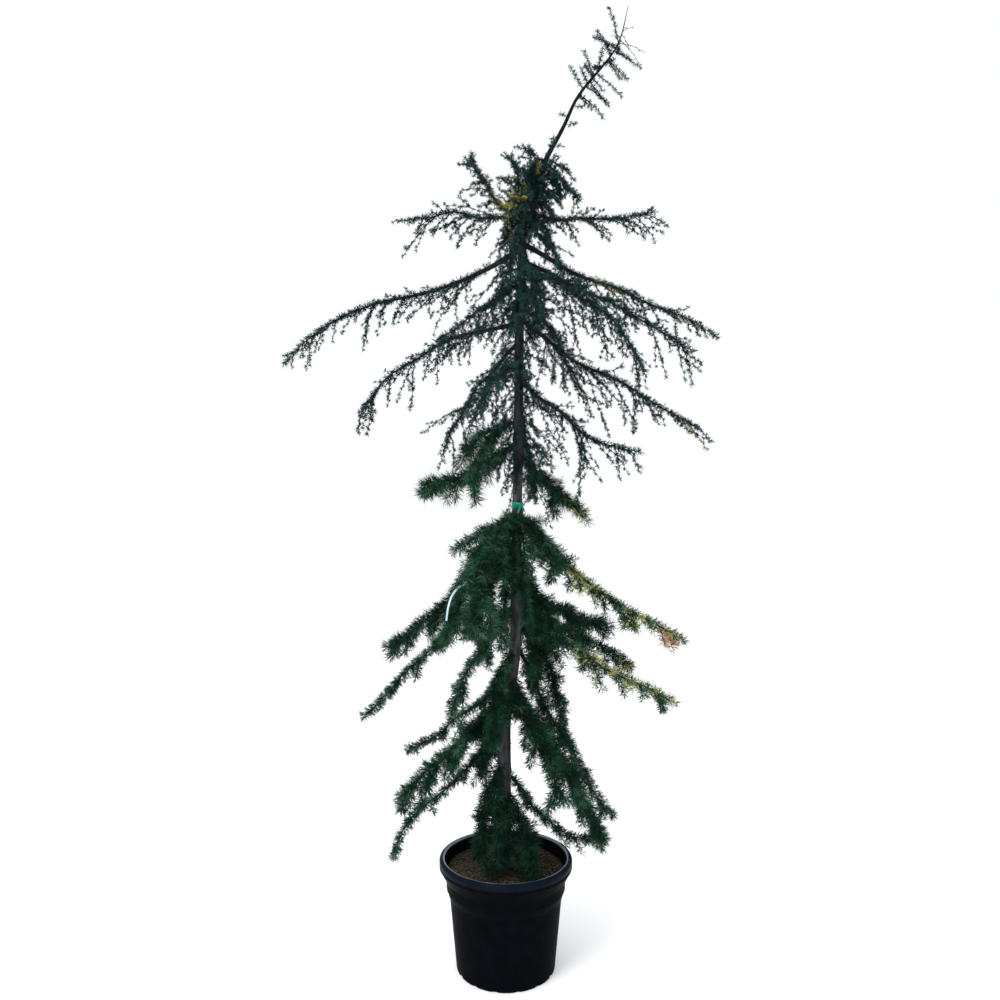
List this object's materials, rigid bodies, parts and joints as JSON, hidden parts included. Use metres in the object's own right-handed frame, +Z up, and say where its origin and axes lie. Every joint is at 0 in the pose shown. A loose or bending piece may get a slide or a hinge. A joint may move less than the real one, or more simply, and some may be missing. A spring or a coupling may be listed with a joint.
{
  "type": "potted weeping deodar cedar",
  "caption": "Tall young weeping deodar cedar with a bare leaning leader and drooping boughs, growing in a round black nursery pot.",
  "frame": {"origin": "middle of the pot's flat underside", "axes": "+Z up along the trunk, +X to the side the leader leans to, -Y towards the picture's camera"},
  "size_m": [1.3304, 0.7837, 2.9085],
  "materials": {
    "pot": "black moulded plastic with a slight sheen",
    "soil": "dark bark and peat compost",
    "bark": "grey-brown bark",
    "tape": "green plastic tape",
    "needles_dark": "dark blue-green needles",
    "needles_green": "deep green needles"
  },
  "bodies": {
    "root": {"pot": "pot", "soil": "soil", "trunk": "bark", "tie": "tape", "limb_left_2": "bark", "limb_right_2": "bark", "limb_left_4": "bark", "foliage_leader": "needles_dark", "foliage_crown_left": "needles_dark", "foliage_crown_peak": "needles_dark", "foliage_crown_right": "needles_dark", "foliage_crown_front": "needles_dark", "foliage_skirt_front": "needles_dark", "foliage_skirt_right": "needles_dark", "foliage_left_1": "needles_dark", "foliage_right_1": "needles_dark", "foliage_left_2": "needles_dark", "foliage_right_2": "needles_dark", "foliage_right_3": "needles_dark", "foliage_left_3": "needles_dark", "foliage_right_4": "needles_dark", "foliage_left_4": "needles_dark", "foliage_right_5": "needles_dark", "foliage_left_5": "needles_dark", "foliage_right_6": "needles_dark", "foliage_left_6": "needles_green", "foliage_right_7": "needles_green", "foliage_left_7": "needles_green", "foliage_left_8": "needles_green", "foliage_left_9": "needles_green", "foliage_right_8": "needles_green", "foliage_left_10": "needles_dark", "foliage_right_9": "needles_green", "foliage_right_10": "needles_green", "foliage_right_11": "needles_green", "foliage_right_12": "needles_green", "foliage_right_13": "needles_green", "foliage_left_11": "needles_green", "foliage_left_12": "needles_dark", "foliage_right_14": "needles_green", "foliage_left_13": "needles_green", "foliage_left_14": "needles_dark", "foliage_right_15": "needles_dark", "foliage_right_16": "needles_green", "foliage_skirt_left": "needles_green", "foliage_low_left": "needles_green", "foliage_low_front": "needles_green", "foliage_back_1": "needles_dark", "foliage_back_2": "needles_dark", "foliage_back_3": "needles_dark", "foliage_back_4": "needles_dark", "foliage_back_5": "needles_green", "foliage_back_6": "needles_green", "foliage_back_7": "needles_green", "foliage_front_1": "needles_dark", "foliage_front_2": "needles_green", "foliage_front_3": "needles_green", "foliage_front_4": "needles_green", "foliage_left_15": "needles_green", "foliage_low_middle": "needles_green"}
  },
  "joints": []
}
